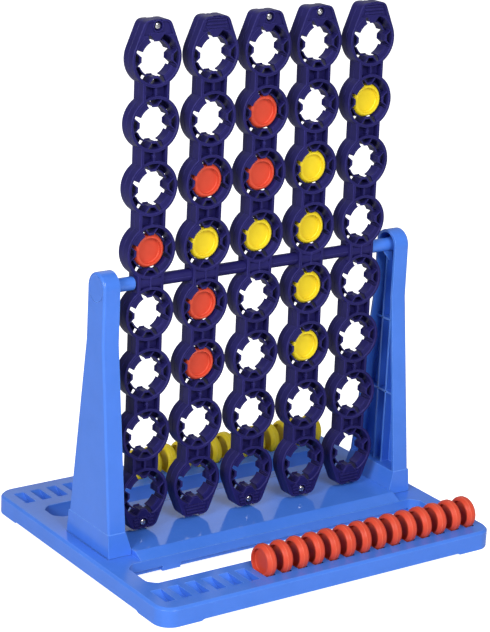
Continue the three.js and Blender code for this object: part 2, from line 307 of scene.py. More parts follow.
def makeGrain():  # fine moulded texture, with slow waves where the plastic has shrunk
    group, given, out = newGroup("mouldedGrain", [("Vector", "NodeSocketVector", None),
                                                  ("Fineness", "NodeSocketFloat", 900.0),
                                                  ("Waves", "NodeSocketFloat", 0.3)], ["Height", "Patch"])
    fine = cloud(group, given.outputs["Vector"], given.outputs["Fineness"], 2.0)
    slow = cloud(group, given.outputs["Vector"], 22.0, 1.0)
    waves = calc(group, "MULTIPLY", slow, given.outputs["Waves"])
    group.links.new(calc(group, "ADD", calc(group, "MULTIPLY", fine, 0.16), waves), out.inputs["Height"])
    patch = cloud(group, given.outputs["Vector"], 38.0, 4.0, 0.6)
    group.links.new(remap(group, patch, 0.32, 0.68), out.inputs["Patch"])
    return group


def makeEdgeWearAndHighlight():  # 1 along an edge, where it has been handled and where a highlight line is painted, 0 on the open face
    group, given, out = newGroup("handledEdgesAndHighlights", [("Vector", "NodeSocketVector", None),
                                                  ("Radius", "NodeSocketFloat", 0.0006)], ["Mask"])
    soft = group.nodes.new("ShaderNodeBevel")
    soft.samples = 4
    group.links.new(given.outputs["Radius"], soft.inputs["Radius"])
    surface = group.nodes.new("ShaderNodeNewGeometry")
    facing = group.nodes.new("ShaderNodeVectorMath")
    facing.operation = "DOT_PRODUCT"
    group.links.new(soft.outputs["Normal"], facing.inputs[0])
    group.links.new(surface.outputs["Normal"], facing.inputs[1])
    away = calc(group, "SUBTRACT", 1.0, facing.outputs["Value"])
    broken = remap(group, cloud(group, given.outputs["Vector"], 260.0, 3.0, 0.6), 0.3, 0.7, 0.35, 1.0)
    # even shallow edges reach the full mask, so it paints a highlight line along them as well as wear
    group.links.new(calc(group, "MULTIPLY", remap(group, away, 0.003, 0.035), broken), out.inputs["Mask"])
    return group


def makeDust():  # a thin settled film on faces that look up
    group, given, out = newGroup("settledDust", [("Vector", "NodeSocketVector", None)], ["Mask"])
    surface = group.nodes.new("ShaderNodeNewGeometry")
    parts = group.nodes.new("ShaderNodeSeparateXYZ")
    group.links.new(surface.outputs["Normal"], parts.inputs[0])
    upward = remap(group, parts.outputs["Z"], 0.45, 1.0)
    specks = remap(group, cloud(group, given.outputs["Vector"], 420.0, 5.0, 0.7), 0.5, 0.78)
    group.links.new(calc(group, "MULTIPLY", upward, specks), out.inputs["Mask"])
    return group


def makeScuffs():  # fine rubbing marks in two directions
    group, given, out = newGroup("fineScuffs", [("Vector", "NodeSocketVector", None),
                                                ("Density", "NodeSocketFloat", 60.0)], ["Mask"])
    marks = []
    for stretch, tilt in (((14, 1, 1), 0.5), ((1, 1, 11), -0.35)):
        lay = group.nodes.new("ShaderNodeMapping")
        lay.inputs["Scale"].default_value = stretch
        lay.inputs["Rotation"].default_value = (tilt, tilt * 0.6, tilt)
        group.links.new(given.outputs["Vector"], lay.inputs["Vector"])
        streak = cloud(group, lay.outputs["Vector"], given.outputs["Density"], 2.0)
        marks.append(remap(group, streak, 0.66, 0.82))
    group.links.new(calc(group, "MAXIMUM", *marks), out.inputs["Mask"])
    return group


dustColour = (0.75, 0.77, 0.8)
grainGroup = makeGrain()
edgeWearAndHighlightGroup = makeEdgeWearAndHighlight()
dustGroup = makeDust()
scuffGroup = makeScuffs()


def useGroup(tree, group, vector, **values):
    node = tree.nodes.new("ShaderNodeGroup")
    node.node_tree = group
    tree.links.new(vector, node.inputs["Vector"])
    for label, value in values.items():
        node.inputs[label].default_value = value
    return node


def blendColour(tree, amount, first, second):
    node = tree.nodes.new("ShaderNodeMix")
    node.data_type = "RGBA"
    tree.links.new(amount, node.inputs["Factor"])
    for label, value in ((6, first), (7, second)):
        if isinstance(value, tuple):
            node.inputs[label].default_value = (*value, 1)
        else:
            tree.links.new(value, node.inputs[label])
    return node.outputs[2]


def makePlastic(name, finish):
    material = bpy.data.materials.new(name)
    material.use_nodes = True
    tree = material.node_tree
    shader = tree.nodes["Principled BSDF"]
    place = tree.nodes.new("ShaderNodeTexCoord").outputs["Object"]
    grain = useGroup(tree, grainGroup, place, Fineness=finish["fineness"], Waves=finish["waves"])
    edges = useGroup(tree, edgeWearAndHighlightGroup, place, Radius=finish["edge"] * mm)
    dust = useGroup(tree, dustGroup, place)
    scuffs = useGroup(tree, scuffGroup, place, Density=finish["scuffs"])

    body = blendColour(tree, grain.outputs["Patch"], finish["deep"], finish["light"])
    # edges take the lighter rubbed colour: partly handling wear, partly a painted highlight along the edges
    wornAndHighlit = calc(tree, "MULTIPLY", edges.outputs["Mask"], finish["wearAndHighlight"])
    body = blendColour(tree, wornAndHighlit, body, finish["rubbedAndHighlit"])
    film = calc(tree, "MULTIPLY", dust.outputs["Mask"], finish["dust"])
    body = blendColour(tree, film, body, dustColour)
    tree.links.new(body, shader.inputs["Base Color"])

    low, high = finish["roughness"]
    rough = remap(tree, grain.outputs["Patch"], 0, 1, low, high)
    rough = calc(tree, "ADD", rough, calc(tree, "MULTIPLY", scuffs.outputs["Mask"], 0.06))
    rough = calc(tree, "ADD", rough, calc(tree, "MULTIPLY", film, 0.5))
    if "polish" in finish:  # the deck, which stands above the rest of the base, is polished
        parts = tree.nodes.new("ShaderNodeSeparateXYZ")
        tree.links.new(place, parts.inputs[0])
        above = calc(tree, "SUBTRACT", parts.outputs["Z"], finish["polishHeight"] * mm)
        deck = calc(tree, "LESS_THAN", calc(tree, "ABSOLUTE", above), finish["polishReach"] * mm)
        dulled = calc(tree, "SUBTRACT", 1.0, calc(tree, "MULTIPLY", deck, finish["polish"]))
        rough = calc(tree, "MULTIPLY", rough, dulled)
    tree.links.new(rough, shader.inputs["Roughness"])

    bump = tree.nodes.new("ShaderNodeBump")
    bump.inputs["Strength"].default_value = finish["bump"]
    bump.inputs["Distance"].default_value = 0.2 * mm
    scratches = calc(tree, "MULTIPLY", scuffs.outputs["Mask"], 0.02)
    height = calc(tree, "SUBTRACT", grain.outputs["Height"], scratches)
    tree.links.new(height, bump.inputs["Height"])
    tree.links.new(bump.outputs["Normal"], shader.inputs["Normal"])
    shader.inputs["IOR"].default_value = finish["ior"]
    shader.inputs["Subsurface Weight"].default_value = finish["glow"]
    shader.inputs["Subsurface Radius"].default_value = (0.4, 0.3, 0.2)
    shader.inputs["Subsurface Scale"].default_value = 0.002
    return material


def makeSteel(name, finish):
    material = bpy.data.materials.new(name)
    material.use_nodes = True
    tree = material.node_tree
    shader = tree.nodes["Principled BSDF"]
    place = tree.nodes.new("ShaderNodeTexCoord").outputs["Object"]
    grain = useGroup(tree, grainGroup, place, Fineness=2600.0, Waves=0.1)
    scuffs = useGroup(tree, scuffGroup, place, Density=500.0)
    edges = useGroup(tree, edgeWearAndHighlightGroup, place, Radius=0.2 * mm)
    body = blendColour(tree, grain.outputs["Patch"], finish["deep"], finish["light"])
    # edges take the near-white rubbed colour: partly wear, partly a painted highlight along the edges
    body = blendColour(tree, edges.outputs["Mask"], body, finish["rubbedAndHighlit"])
    tree.links.new(body, shader.inputs["Base Color"])
    rough = remap(tree, scuffs.outputs["Mask"], 0, 1, *finish["roughness"])
    tree.links.new(rough, shader.inputs["Roughness"])
    bump = tree.nodes.new("ShaderNodeBump")
    bump.inputs["Strength"].default_value = 0.2
    bump.inputs["Distance"].default_value = 0.05 * mm
    tree.links.new(grain.outputs["Height"], bump.inputs["Height"])
    tree.links.new(bump.outputs["Normal"], shader.inputs["Normal"])
    shader.inputs["Metallic"].default_value = 1.0
    return material


# rubbed and wear: the colour and strength of the lighter edges, partly handling wear, partly a painted
# highlight
navyFinish = {
    "deep": (0.0125, 0.0105, 0.085), "light": (0.017, 0.0145, 0.115), "rubbedAndHighlit": (0.05, 0.045, 0.24),
    "wearAndHighlight": 0.8, "edge": 0.5, "dust": 0.008, "fineness": 1500.0, "waves": 0.2, "scuffs": 70.0,
    "roughness": (0.36, 0.47), "bump": 0.4, "ior": 1.25, "glow": 0.0,
}
blueFinish = {
    "deep": (0.056, 0.188, 0.71), "light": (0.064, 0.205, 0.76), "rubbedAndHighlit": (0.2, 0.43, 0.98),
    "wearAndHighlight": 0.6, "edge": 0.8, "dust": 0.02, "fineness": 1100.0, "waves": 0.3, "scuffs": 45.0,
    "roughness": (0.17, 0.25), "bump": 0.12, "ior": 1.44, "glow": 0.0,
    "polish": 0.5, "polishHeight": 18.8, "polishReach": 1.5,
}
redFinish = {
    "deep": (0.6, 0.06, 0.028), "light": (0.69, 0.074, 0.036), "rubbedAndHighlit": (0.95, 0.24, 0.12),
    "wearAndHighlight": 0.7, "edge": 0.5, "dust": 0.02, "fineness": 1300.0, "waves": 0.25, "scuffs": 90.0,
    "roughness": (0.36, 0.46), "bump": 0.25, "ior": 1.36, "glow": 0.05,
}
yellowFinish = {
    "deep": (0.76, 0.57, 0.014), "light": (0.84, 0.66, 0.02), "rubbedAndHighlit": (0.98, 0.86, 0.2),
    "wearAndHighlight": 0.5, "edge": 0.5, "dust": 0.02, "fineness": 1300.0, "waves": 0.25, "scuffs": 90.0,
    "roughness": (0.36, 0.46), "bump": 0.25, "ior": 1.36, "glow": 0.05,
}
steelFinish = {
    "deep": (0.5, 0.5, 0.52), "light": (0.68, 0.68, 0.7), "rubbedAndHighlit": (0.9, 0.9, 0.9), "roughness": (0.2, 0.38),
}

navyPlastic = makePlastic("navyPlastic", navyFinish)
bluePlastic = makePlastic("bluePlastic", blueFinish)
redPlastic = makePlastic("redPlastic", redFinish)
yellowPlastic = makePlastic("yellowPlastic", yellowFinish)
screwSteel = makeSteel("screwSteel", steelFinish)
print("finishes mixed")


# ---- column shells

column = {
    "rows": 8, "pitch": 48, "between": 48.95, "axleHeight": 219.3,
    "face": -6.7, "parting": -0.15,
    "ring": 20.8, "bore": 18.5, "boreFlare": 0.5,
    "neck": 11.4, "pocket": 9.1, "rib": 0.75, "ribFace": -5.9, "pocketFloor": -1.7, "sleeveFloor": -3.6,
    "tipReach": 28.4, "tipHalf": 10.7, "tipCorner": 4.2, "notch": 3.3, "notchDepth": 1.1, "notchBack": -4.6,
    "tilts": (0.4, -0.2, 0.6, 1.6, 0.9), "turned": (False, True, False, False, True),
    "sleeve": 6.3, "sleeveArc": (181.3, 358.7), "channel": 5.1, "channelEnd": 30, "steps": 22,
    "middle": 3, "mark": (0.6, 0.18, 4.6), "peg": 1.2,
}
clip = {  # what holds a disc in a ring
    "inner": 13.4, "flat": 2.6, "flare": 7.2, "outer": 18.9, "wall": 1.0, "face": -5.4,
    "hook": 12.5, "hookBack": -4.4,
    "plateSpan": 19.5, "plateInner": 14.3, "plateOuter": 18.9, "plateFace": -6.3, "plateBack": -4.4,
    "lipSpan": 20.5, "lipOuter": 14.6, "lipEnd": 2.7,
}
screw = {"reach": 23.8, "head": 2.75, "top": -6.2, "under": -4.4, "tail": 2.8, "shank": 1.45,
         "recess": 3.8, "recessFloor": -4.1, "crossArm": 1.5, "crossThin": 0.32, "crossTurn": 22,
         "dome": ((0, 0), (0.9, 0.03), (1.7, 0.2), (2.3, 0.55), (2.65, 1.05), (2.75, 1.5))}
rowHeights = [(4.5 - row) * column["pitch"] for row in range(1, column["rows"] + 1)]
neckHeights = [z - column["pitch"] / 2 for z in rowHeights[:-1]]
outside = column["face"] - 1  # where a cutting tool starts
inside = column["parting"] + 1


def columnOutline():
    half, ring, reach = column["tipHalf"], column["ring"], column["tipReach"]
    sideAngle = 90 - math.degrees(math.asin(column["neck"] / ring))
    tipAngle = math.degrees(math.atan2(reach, half) - math.acos(ring / math.hypot(reach, half)))
    right = []
    for row, z in reversed(list(enumerate(rowHeights))):
        start = -tipAngle if row == column["rows"] - 1 else -sideAngle
        end = tipAngle if row == 0 else sideAngle
        right += arc(0, z, ring, start, end, column["steps"])
    top = rowHeights[0] + reach
    corner = softCorner(right[-1], (half, top), (0, top), column["tipCorner"])
    right = [(x, -z) for x, z in reversed(corner)] + right + corner
    return right + [(-x, z) for x, z in reversed(right)]


def addBoreTool():
    profile = [(0, outside), (column["bore"] + column["boreFlare"] + 1, outside),
               (column["bore"], column["face"] + column["boreFlare"]), (column["bore"], inside), (0, inside)]
    return addTurned(profile, 72)


def neckOutline(z, left, right, steps=8):  # the room in a neck between two rings
    xs = [left + (right - left) * i / steps for i in range(steps + 1)]
    rise = [column["pitch"] / 2 - math.sqrt(column["ring"] ** 2 - x * x) for x in xs]
    return [(x, z - r) for x, r in zip(xs, rise)] + [(x, z + r) for x, r in reversed(list(zip(xs, rise)))]


def addStrip(radiusIn, radiusOut, span, near, far, steps=8):  # part of a ring, centred on the +X side
    outline = arc(0, 0, radiusIn, -span, span, steps) + arc(0, 0, radiusOut, span, -span, steps)
    return addPlate(outline, near, far)


def addClips():  # one ring's brackets and plates
    face, back = clip["face"], column["parting"]
    inner, flat, flare, wall = clip["inner"], clip["flat"], clip["flare"], clip["wall"]
    bend = [(clip["outer"], flare), (inner, flat), (inner, -flat), (clip["outer"], -flare),
            (clip["outer"], -flare + wall * 1.35), (inner + wall, -flat + wall * 0.45),
            (inner + wall, flat - wall * 0.45), (clip["outer"], flare - wall * 1.35)]
    bracket = addPlate(bend, face, back)
    tip, root = clip["hook"], inner + 0.2
    hookOutline = [(root, -flat), (tip, 0.5 - flat), (tip, flat - 0.5), (root, flat)]
    hook = addPlate(hookOutline, face, clip["hookBack"])
    bevelWhere(bracket, lambda p: p.y < face + 0.1, 0.22, 2)
    bevelWhere(hook, lambda p: p.y < face + 0.1, 0.22, 2)
    bracket = joinAll([bracket, hook])
    parts = [bracket] + [copyOf(bracket, turn(angle, "Y")) for angle in (90, 180, 270)]
    plate = addStrip(clip["plateInner"], clip["plateOuter"], clip["plateSpan"],
                     clip["plateFace"], clip["plateBack"])
    bevelWhere(plate, lambda p: p.y < clip["plateFace"] + 0.1, 0.35, 2)
    lip = addStrip(clip["inner"], clip["lipOuter"], clip["lipSpan"], clip["plateFace"], clip["lipEnd"])
    bevelWhere(lip, lambda p: p.y < clip["plateFace"] + 0.1 or p.y > clip["lipEnd"] - 0.1, 0.25, 2)
    stop = joinAll([plate, lip])
    parts += [copyOf(stop, turn(-135, "Y")), moved(stop, turn(-315, "Y"))]
    return joinAll(parts)


tipWork = {
    "shelf": ((-1.9, 13.4), (1.9, 13.4), (6.9, 19), (-6.9, 19)),
    "bars": 3, "barStart": 20.2, "barPitch": 2.65, "barHalf": 8.9, "barTaper": 0.35,
    "barClear": 4.6, "barThick": 0.6,
    "panelDeep": 1.35, "panelShallow": 1.2,
    "panelHalf": ((12.6, 17.2), (9.9, 24.6), (9.0, 26.2), (7.4, 26.9)),
}


def addTip(takesHeads, upper):  # raised work on a tip's face, drawn for the upper tip
    z = rowHeights[0]
    face = column["face"]
    shelf = [(x, z + height) for x, height in tipWork["shelf"]]
    parts = [addPlate(shelf, face + 0.5, column["parting"])]
    bevelWhere(parts[0], lambda p: p.y < face + 0.6, 0.3, 2)
    if not (takesHeads and upper):
        for step in range(tipWork["bars"]):
            height = z + tipWork["barStart"] + tipWork["barPitch"] * step
            half = tipWork["barHalf"] - tipWork["barTaper"] * step
            clear, thick = tipWork["barClear"], tipWork["barThick"]
            spans = [(-half, -clear), (clear, half)] if takesHeads else [(-half, half)]
            for left, right in spans:
                bar = addBlock((left, face - 0.05, height - thick), (right, face + 1.5, height + thick))
                parts.append(bevelWhere(bar, lambda p: p.y < face, 0.3, 2))
    if takesHeads:
        centre = screw["reach"] + z
        mouth, brim = screw["recess"], screw["recess"] + 0.55
        rim = [(mouth, face + 1.5), (mouth, face), (mouth + 0.4, face),
               (brim, face + 0.2), (brim, face + 1.5)]
        collar = addTurned(rim, 40, True)
        parts.append(moved(collar, shift(z=centre)))
    whole = joinAll(parts)
    return whole if upper else moved(whole, turn(180, "Y"))


def tipPanel(takesHeads, upper):  # the shallow hollow in a tip's face
    z = rowHeights[0]
    deep = tipWork["panelDeep"] if takesHeads and upper else tipWork["panelShallow"]
    half = [(x, z + height) for x, height in tipWork["panelHalf"]]
    outline = half + [(-x, height) for x, height in reversed(half)]
    panel = addPlate(outline, outside, column["face"] + deep)
    return panel if upper else moved(panel, turn(180, "Y"))


def makeShell(takesHeads):
    face, parting = column["face"], column["parting"]
    shell = addPlate(columnOutline(), parting, face)
    bevelWhere(shell, lambda p: p.y < face + 0.1, 0.55, 3)
    bevelWhere(shell, lambda p: p.y > parting - 0.1, 0.15, 1)
    bore = addBoreTool()
    combine(shell, joinAll([copyOf(bore, shift(z=z)) for z in rowHeights]))
    bpy.data.objects.remove(bore)

    shallow = []
    for z in neckHeights:
        floor = column["ribFace"] if abs(z) > 1 else column["sleeveFloor"]
        shallow.append(addPlate(neckOutline(z, -column["pocket"], column["pocket"], 16), outside, floor))
    combine(shell, joinAll(shallow))
    deep = []
    for z in neckHeights:
        if abs(z) > 1:  # the middle neck carries the sleeve instead
            for side in (-1, 1):
                ends = sorted((side * column["rib"], side * column["pocket"]))
                deep.append(addPlate(neckOutline(z, *ends), outside, column["pocketFloor"]))
    combine(shell, joinAll(deep))

    halfSleeve = [(y, z) for z, y in arc(0, 0, column["sleeve"], *column["sleeveArc"], 28)]
    sleeve = addPlate([(y, z) for y, z in halfSleeve], -column["neck"] + 0.1, column["neck"] - 0.1, "X")
    combine(shell, sleeve, "UNION")
    bore, end = column["channel"], column["channelEnd"]
    channel = addTurned([(0, -end), (bore, -end), (bore, end), (0, end)], 40, axis="X")
    combine(shell, channel)

    combine(shell, joinAll([tipPanel(takesHeads, True), tipPanel(takesHeads, False)]))
    tip = rowHeights[0] + column["tipReach"]
    dip = column["notch"]
    bite = column["notchDepth"]
    dips = [addBlock((-dip, outside, z - bite), (dip, column["notchBack"], z + bite)) for z in (tip, -tip)]
    combine(shell, joinAll(dips))
    if takesHeads:
        profile = [(0, outside), (screw["recess"], outside), (screw["recess"], screw["recessFloor"]),
                   (screw["shank"] + 0.3, screw["recessFloor"]), (screw["shank"] + 0.3, inside), (0, inside)]
    else:
        profile = [(0, -screw["tail"] - 0.3), (screw["shank"] + 0.3, -screw["tail"] - 0.3),
                   (screw["shank"] + 0.3, inside), (0, inside)]
    hole = addTurned(profile, 40)
    centre = rowHeights[0] + screw["reach"]
    combine(shell, joinAll([copyOf(hole, shift(z=centre)), moved(hole, shift(z=-centre))]))

    clips = addClips()
    parts = [shell] + [copyOf(clips, shift(z=z)) for z in rowHeights]
    bpy.data.objects.remove(clips)
    parts += [addTip(takesHeads, True), addTip(takesHeads, False)]
    wide, proud, tall = column["mark"]
    mark = addBlock((-wide, face - proud, -tall), (wide, face + 1, tall))
    parts.append(bevelWhere(mark, lambda p: p.y < face, 0.2, 1))
    thick, foot = column["peg"], column["pocketFloor"] + 0.2
    side = [(0, face + 0.2), (thick - 0.3, face + 0.2), (thick, face + 0.5), (thick, foot), (0, foot)]
    peg = addTurned(side, 24)
    parts += [copyOf(peg, shift(z=neckHeights[1])), moved(peg, shift(z=neckHeights[5]))]
    return joinAll(parts)


def columnPlace(number):
    matrix = shift((number - column["middle"]) * column["between"], 0, column["axleHeight"])
    matrix = matrix @ turn(-column["tilts"][number - 1], "X")
    return matrix @ turn(180, "Z") if column["turned"][number - 1] else matrix


screwShell = makeShell(True)
print("screw shell modelled,", len(screwShell.data.polygons), "faces")
threadShell = makeShell(False)
print("thread shell modelled,", len(threadShell.data.polygons), "faces")


# ---- screws

def makeScrew():
    top, under, head = screw["top"], screw["under"], screw["head"]
    shank, tail = screw["shank"], screw["tail"]
    profile = [(radius, top + down) for radius, down in screw["dome"]]
    profile += [(head, under), (shank, under), (shank, tail - 1), (0, tail)]
    made = addTurned(profile, 40)
    arm, thin = screw["crossArm"], screw["crossThin"]
    bars = [addBlock((-x, top - 1, -z), (x, top + 1.1, z)) for x, z in ((arm, thin), (thin, arm))]
    for bar in bars:
        combine(made, moved(bar, turn(screw["crossTurn"], "Y")))
    return made


screwMaster = makeScrew()


# ---- discs

disc = {"half": 4.2, "radius": 13, "face": 11, "rim": 1.05, "floor": 0.8, "steps": 64,
        "shoulder": ((11.8, 3.55), (12.3, 2.95), (12.65, 2.25), (12.85, 1.65), (12.86, 1.45))}


def makeDisc():
    half, radius, face = disc["half"], disc["radius"], disc["face"]
    wall = face - disc["rim"]
    side = [(0, disc["floor"]), (wall - 0.8, disc["floor"]), (wall - 0.4, disc["floor"] + 0.1),
            (wall - 0.12, disc["floor"] + 0.35), (wall - 0.02, disc["floor"] + 0.7), (wall, half - 0.25),
            (wall + 0.08, half - 0.07), (wall + 0.28, half), (face - 0.2, half), (face + 0.25, half - 0.12),
            *disc["shoulder"], (radius, 1.3), (radius, 0.4)]
    return addTurned(side + [(r, -y) for r, y in reversed(side)], disc["steps"])


discMaster = makeDisc()
print("screw and disc modelled")


# ---- placing the columns' pieces

clippedDiscs = {
    "red": [(3, 2), (3, 3), (2, 3), (1, 4), (2, 5), (2, 6)],
    "yellow": [(5, 2), (4, 3), (4, 4), (3, 4), (2, 4), (4, 5), (4, 6)],
}
discPlastic = {"red": redPlastic, "yellow": yellowPlastic}
spin = {"screw": 37, "end": 50, "row": 31, "column": 17, "slot": 47}  # degrees from one piece to the next

for number in range(1, 6):
    place = columnPlace(number)
    body = f"column_{number}"
    settle(copyOf(screwShell, place), f"screwShell{number}", navyPlastic,
           body, "navy_plastic", f"{body}_screw_shell")
    settle(copyOf(threadShell, place @ turn(180, "Z")), f"threadShell{number}", navyPlastic,
           body, "navy_plastic", f"{body}_thread_shell")
    for end, side in (("upper", 1), ("lower", -1)):
        height = side * (rowHeights[0] + screw["reach"])
        spotMatrix = place @ shift(z=height) @ turn(spin["screw"] * number + spin["end"] * side, "Y")
        settle(copyOf(screwMaster, spotMatrix), f"{end}Screw{number}", screwSteel, body, "screw_steel",
               f"{body}_{end}_screw")

for colour, spots in clippedDiscs.items():
    for number, row in spots:
        height = rowHeights[row - 1]
        turned = turn(spin["row"] * row + spin["column"] * number, "Y")
        matrix = columnPlace(number) @ shift(z=height) @ turned
        settle(copyOf(discMaster, matrix), f"{colour}DiscColumn{number}Row{row}", discPlastic[colour],
               f"column_{number}", f"{colour}_plastic", f"{colour}_disc_column_{number}_row_{row}")
print("columns placed")


# ---- axle

axle = {"radius": 4.8, "half": 109.6, "spigot": 3, "spigotReach": 123.6}


def makeAxle():
    radius, half = axle["radius"], axle["half"]
    spigot, reach = axle["spigot"], axle["spigotReach"]
    side = [(0, reach), (spigot - 0.4, reach), (spigot, reach - 0.4),
            (spigot, half), (radius - 0.5, half), (radius, half - 0.5)]
    made = addTurned([(r, -x) for r, x in side] + list(reversed(side)), 48, axis="X")
    seam = [addBlock((-half + 1, -radius - 0.06, -0.12), (half - 1, -radius + 0.5, 0.12)),
            addBlock((-half + 1, radius - 0.5, -0.12), (half - 1, radius + 0.06, 0.12))]
    return moved(joinAll([made] + seam), shift(z=column["axleHeight"]))


settle(makeAxle(), "axleRod", navyPlastic, "stand", "navy_plastic", "axle")
print("axle made")


# ---- base

base = {
    "halfX": 154.5, "halfY": 126.25, "corner": 14, "top": 15.5, "edge": 1.9,
    "deckTop": 20, "deckHalfX": 122.8, "deckHalfY": 36, "deckFootY": 45.6,
    "gapHalfX": 138, "gapCorner": 6, "gaps": ((-83, -46), (56, 80.5)),
    "gapSoft": 2.2, "gapLip": 3.8, "lipBand": 8, "lipShade": 7, "bandDepth": 2.6, "bandBreak": (28, 44),
    "grooves": (142.95, -143.75), "grooveWide": 0.8, "grooveReach": 31.6, "grooveDeep": 1.4,
    "wall": 2.4, "trayFloor": 8, "footRise": 1.6, "foot": 36, "footSlope": 4, "footCut": 200,
    "slots": 20, "slotPitch": 14.75, "slotWidth": 8.9, "slotY": 103, "slotZ": 23.7, "slotRadius": 13.4,
    "slotZone": (88, 118, 146),
}


def roundedRectangle(halfX, halfY, radius, steps):
    corners = []
    for sideX, sideY, start in ((1, -1, -90), (1, 1, 0), (-1, 1, 90), (-1, -1, 180)):
        corners += arc(sideX * (halfX - radius), sideY * (halfY - radius), radius, start, start + 90, steps)
    return corners


def gapOutline(near, end):
    far, corner = base["gapHalfX"], base["gapCorner"]
    corners = [(-far, near), (far, near), (far, end), (-far, end)]
    outline = []
    for i, place in enumerate(corners):
        outline += softCorner(corners[i - 1], place, corners[(i + 1) % 4], corner, 1)
    rounded = []
    for i, place in enumerate(outline):
        rounded += softCorner(outline[i - 1], place, outline[(i + 1) % len(outline)], base["gapSoft"], 3)
    return rounded


def slotX(index):
    return (index - (base["slots"] - 1) / 2) * base["slotPitch"]


def makeBase():
    halfX, halfY, top, wall = base["halfX"], base["halfY"], base["top"], base["wall"]
    body = addPlate(roundedRectangle(halfX, halfY, base["corner"], 10), 0, top, "Z")
    bevelWhere(body, lambda p: p.z > top - 0.1, base["edge"], 1)
    bevelWhere(body, lambda p: p.z > top - base["edge"] - 0.1, 0.35, 2, 0.5)
    bevelWhere(body, lambda p: p.z < 0.1, 0.8, 2)

    foot, flat, deckTop = base["deckFootY"], base["deckHalfY"], base["deckTop"]
    deckOutline = [(-foot, top - 2), (foot, top - 2), (foot, top),
                   (flat, deckTop), (-flat, deckTop), (-foot, top)]
    deck = addPlate(deckOutline, -base["deckHalfX"], base["deckHalfX"], "X")
    bevelWhere(deck, lambda p: p.z > top - 0.1, 0.45, 2, 0.2)
    combine(body, deck, "UNION")

    gaps = joinAll([addPlate(gapOutline(*ends), -1, deckTop + 1, "Z") for ends in base["gaps"]])
    combine(body, gaps)
    for near, end in base["gaps"]:
        bevelWhere(body, lambda p: abs(p.z - top) < 0.1 and abs(p.x) < base["gapHalfX"] + 0.2
                   and near - 0.2 < p.y < end + 0.2 and abs(p.y - base["gaps"][0][1]) > 0.5, 0.6, 2)

    slots = []
    bend, thick = base["slotRadius"], base["slotWidth"] / 2
    cradle = addTurned([(0, -thick), (bend, -thick), (bend, thick), (0, thick)], 96, axis="X")
    for index in range(base["slots"]):
        for y in (-base["slotY"], base["slotY"]):
            slots.append(copyOf(cradle, shift(slotX(index), y, base["slotZ"])))
    bpy.data.objects.remove(cradle)
    combine(body, joinAll(slots))
    near, far, end = base["slotZone"]
    bevelWhere(body, lambda p: abs(p.z - top) < 0.05 and near < abs(p.y) < far and abs(p.x) < end, 0.45, 2)

    rise, length = base["footRise"], base["footCut"]
    for reach, axis in ((halfX - base["foot"], "Y"), (halfY - base["foot"], "X")):
        spread = reach + base["footSlope"]
        outline = [(-spread, -0.5), (spread, -0.5), (reach, rise), (-reach, rise)]
        combine(body, addPlate(outline, -length, length, axis))

    (front, frontNear), (rearNear, rear) = base["gaps"]
    deckX, railX, wide = base["deckHalfX"] - wall, base["gapHalfX"] + wall, halfX - base["corner"]
    shade = frontNear + base["lipShade"]
    combine(body, addBlock((-base["gapHalfX"], shade, -1), (base["gapHalfX"], rearNear - wall, top - wall)))
    combine(body, addBlock((-deckX, -flat, 5), (deckX, flat, deckTop - wall)))
    under = []
    for ends in ((-halfX + wall, -railX), (railX, halfX - wall)):
        under.append(addBlock((ends[0], front, -1), (ends[1], rear, top - wall)))
    for ends in ((-halfY + wall, front - wall), (rear + wall, halfY - wall)):
        under.append(addBlock((-wide, ends[0], -1), (wide, ends[1], base["trayFloor"])))
    combine(body, joinAll(under))
    span = base["gapHalfX"] - base["gapCorner"]
    combine(body, addBlock((-span, frontNear - 2, -2), (span, shade + 1, base["gapLip"])))
    band = frontNear + base["bandDepth"]
    stopAt, goOn = base["bandBreak"]
    combine(body, addBlock((-span - 3, frontNear - 2, -2), (stopAt - span, band, base["lipBand"])))
    combine(body, addBlock((goOn - span, frontNear - 2, -2), (span, band, base["lipBand"])))
    reach, wide, deep = base["grooveReach"], base["grooveWide"], base["grooveDeep"]
    grooves = [addBlock((x, -reach, top - deep), (x + wide, reach, top + 1)) for x in base["grooves"]]
    combine(body, joinAll(grooves))
    return body


settle(makeBase(), "standBase", bluePlastic, "stand", "blue_plastic", "base")
print("base made")


# ---- posts, modelled on the +X side and turned round for the other one

post = {
    "crown": 12.2, "kink": 178, "bottom": 15.8, "halfBottom": 31.2, "outerTop": 141.2, "outerBottom": 142.8,
    "inner": 127.5, "wall": 2.2, "plinthTop": 34, "plinthInner": 123.1, "plinthCut": 40,
    "step": 0.35, "edge": 2.0,
    "rib": 1.8, "ribY": 5, "ribInner": 133, "ribHeights": (95, 156),
    "stub": 5.3, "stubStart": 109.9, "spigot": 3.3,
    "gusset": ((124, 215), (134, 215), (134, 206), (131, 206)), "gussetHalf": 0.9,
    "grooveRadii": (9.9, 10.4), "grooveEnds": (140.8, 145.5),
}
postSpread = (post["halfBottom"] - post["crown"]) / (post["kink"] - post["bottom"])
postTop = column["axleHeight"] + post["crown"]
postLean = (post["outerBottom"] - post["outerTop"]) / (postTop - post["bottom"])


def postOutline(margin, bottom, steps=24):
    top = post["crown"] - margin
    foot = post["crown"] + (post["kink"] - bottom) * postSpread - margin
    crown = arc(0, column["axleHeight"], top, 0, 180, steps)
    return [(-foot, bottom), (foot, bottom), (top, post["kink"])] + crown + [(-top, post["kink"])]


def leanFace(piece, inset=0.0):  # cuts a piece back to the post's leaning outer face
    return cutBeyond(piece, (post["outerTop"] - inset, 0, postTop), (1, 0, postLean))


